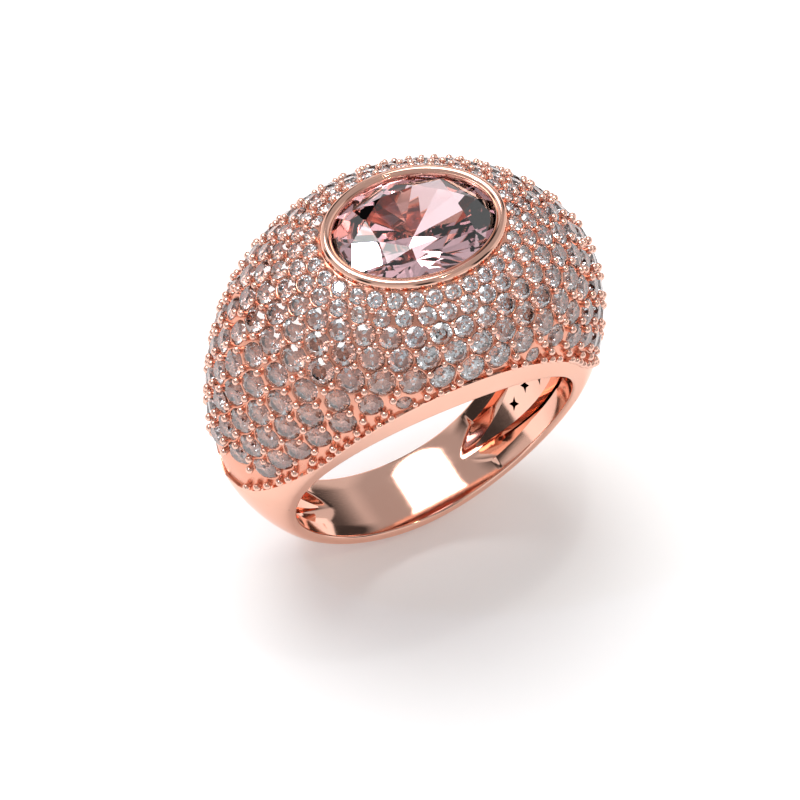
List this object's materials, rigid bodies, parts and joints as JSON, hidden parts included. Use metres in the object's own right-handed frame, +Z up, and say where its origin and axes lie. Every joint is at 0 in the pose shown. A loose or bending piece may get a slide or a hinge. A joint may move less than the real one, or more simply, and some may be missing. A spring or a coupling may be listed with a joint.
{
  "type": "cocktail ring",
  "caption": "Bombe cocktail ring: a bezel-set oval stone on a domed head paved with small round stones, above a tapering band with a round finger hole",
  "frame": {"origin": "centre of the finger hole, at the middle of the band's width", "axes": "Y runs along the finger through the hole, Z points up through the centre stone, X runs across the finger from shoulder to shoulder"},
  "size_m": [0.0242, 0.0154, 0.0263],
  "materials": {
    "rose_gold_polished": "polished",
    "rose_gold_plate": "satin",
    "pink_stone": "polished",
    "white_stone": "polished"
  },
  "bodies": {
    "root": {"shank_hoop": "rose_gold_polished", "front_side_rail": "rose_gold_polished", "back_side_rail": "rose_gold_polished", "left_pave_plate": "rose_gold_plate", "right_pave_plate": "rose_gold_plate", "crown_front_plate": "rose_gold_plate", "crown_back_plate": "rose_gold_plate", "left_gallery_panel": "rose_gold_plate", "right_gallery_panel": "rose_gold_plate", "bezel_collar": "rose_gold_polished", "bezel_lip": "rose_gold_polished", "centre_stone": "pink_stone", "pave_ring_01": "white_stone", "pave_ring_02": "white_stone", "pave_ring_03": "white_stone", "pave_ring_04": "white_stone", "pave_ring_05": "white_stone", "pave_ring_06": "white_stone", "pave_ring_07": "white_stone", "pave_ring_08": "white_stone", "pave_ring_09": "white_stone", "pave_ring_10": "white_stone", "pave_ring_11": "white_stone", "beads_ring_01": "rose_gold_polished", "beads_ring_02": "rose_gold_polished", "beads_ring_03": "rose_gold_polished", "beads_ring_04": "rose_gold_polished", "beads_ring_05": "rose_gold_polished", "beads_ring_06": "rose_gold_polished", "beads_ring_07": "rose_gold_polished", "beads_ring_08": "rose_gold_polished", "beads_ring_09": "rose_gold_polished", "beads_ring_10": "rose_gold_polished", "beads_ring_11": "rose_gold_polished", "border_beads": "rose_gold_polished"}
  },
  "joints": []
}
